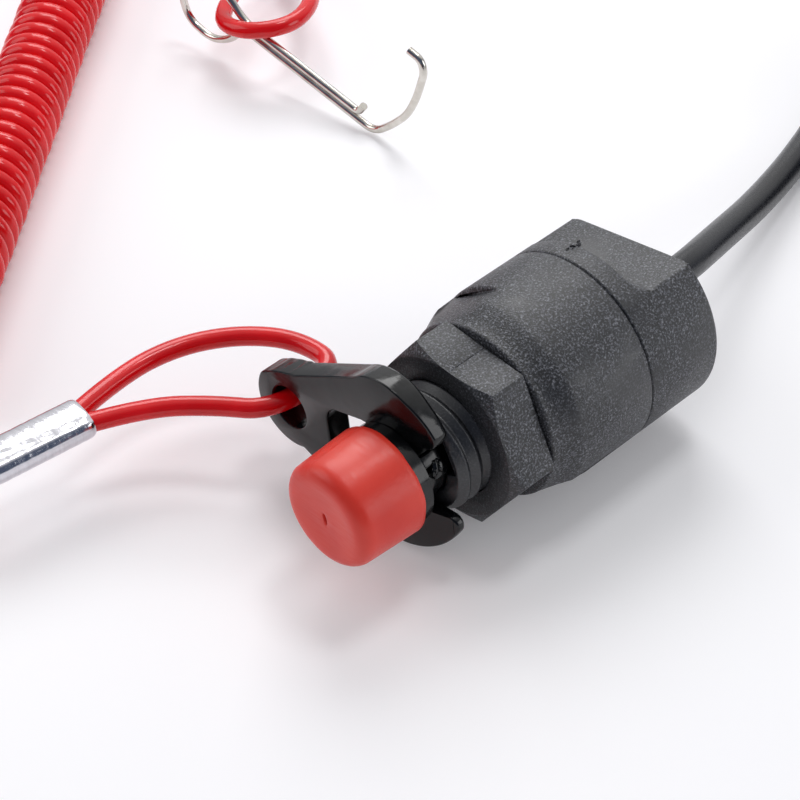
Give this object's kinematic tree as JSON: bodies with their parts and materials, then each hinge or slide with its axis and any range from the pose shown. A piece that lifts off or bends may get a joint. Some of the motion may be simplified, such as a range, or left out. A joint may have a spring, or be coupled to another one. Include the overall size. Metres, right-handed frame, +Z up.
{
  "type": "engine kill switch with lanyard",
  "caption": "Panel-mount engine kill switch: threaded barrel and nut, red push button, a fork clip on a coiled red wrist lanyard with a wire hook, and a short cable with ring terminals",
  "frame": {"origin": "on the switch axis, at the flat shoulder of the body that seats against the panel", "axes": "+Z up, +X along the switch from the button to the cable, so the button faces -X"},
  "size_m": [0.2007, 0.168, 0.0272],
  "materials": {
    "black_nylon": "moulded with a fine grain",
    "black_acetal": "moulded, smooth and glossy",
    "red_plastic": "moulded, satin",
    "brass": "stamped and burnished by use",
    "spring_steel": "bright drawn wire",
    "tinned_copper": "stamped, tin plated",
    "aluminium": "crimped, dented and bright",
    "black_rubber": "moulded, matt",
    "black_pvc": "extruded, smooth",
    "red_pvc": "extruded, smooth",
    "red_cord": "extruded soft jacket, glossy"
  },
  "bodies": {
    "switch": {"front_housing": "black_nylon", "rear_cap": "black_nylon", "hex_nut": "black_nylon", "contact_base": "black_nylon", "fixed_contact_a": "brass", "fixed_contact_b": "brass", "cap_seal": "black_rubber", "cable_bush": "black_rubber", "inner_wire_a": "black_pvc", "inner_wire_b": "black_pvc", "plunger_spring": "spring_steel", "cable": "black_pvc", "cable_coil": "black_pvc", "core_wire_a": "black_pvc", "core_wire_b": "red_pvc", "ring_terminal_a": "tinned_copper", "ring_terminal_b": "tinned_copper"},
    "plunger": {"plunger": "black_acetal", "plunger_seal": "black_rubber", "spring_washer": "spring_steel", "retaining_ring": "spring_steel", "button_spring": "spring_steel"},
    "button": {"red_button": "red_plastic", "contact_bridge": "brass"},
    "clip": {"lock_clip": "black_acetal", "lanyard_front_loop": "red_cord", "front_ferrule": "aluminium", "lanyard_front_tail": "red_cord", "lanyard_coil": "red_cord", "lanyard_rear_tail": "red_cord", "rear_ferrule": "aluminium", "lanyard_rear_loop": "red_cord", "wire_hook": "spring_steel"}
  },
  "joints": [
    {"name": "clip_pull", "type": "slide", "parent": "switch", "child": "clip", "axis": [0, 0.9925, -0.1219], "range_m": [0, 0.025]},
    {"name": "plunger_travel", "type": "slide", "parent": "switch", "child": "plunger", "axis": [1, 0, 0], "range_m": [0, 0.003], "deforming": ["plunger_spring"]},
    {"name": "button_press", "type": "slide", "parent": "plunger", "child": "button", "axis": [1, 0, 0], "range_m": [0, 0.0016], "stiffness_N_per_m": 800, "springref_m": -0.002, "deforming": ["button_spring"]}
  ],
  "couplings": [
    {"joint": "plunger_travel", "follows": "clip_pull", "ratio": 0.12}
  ]
}
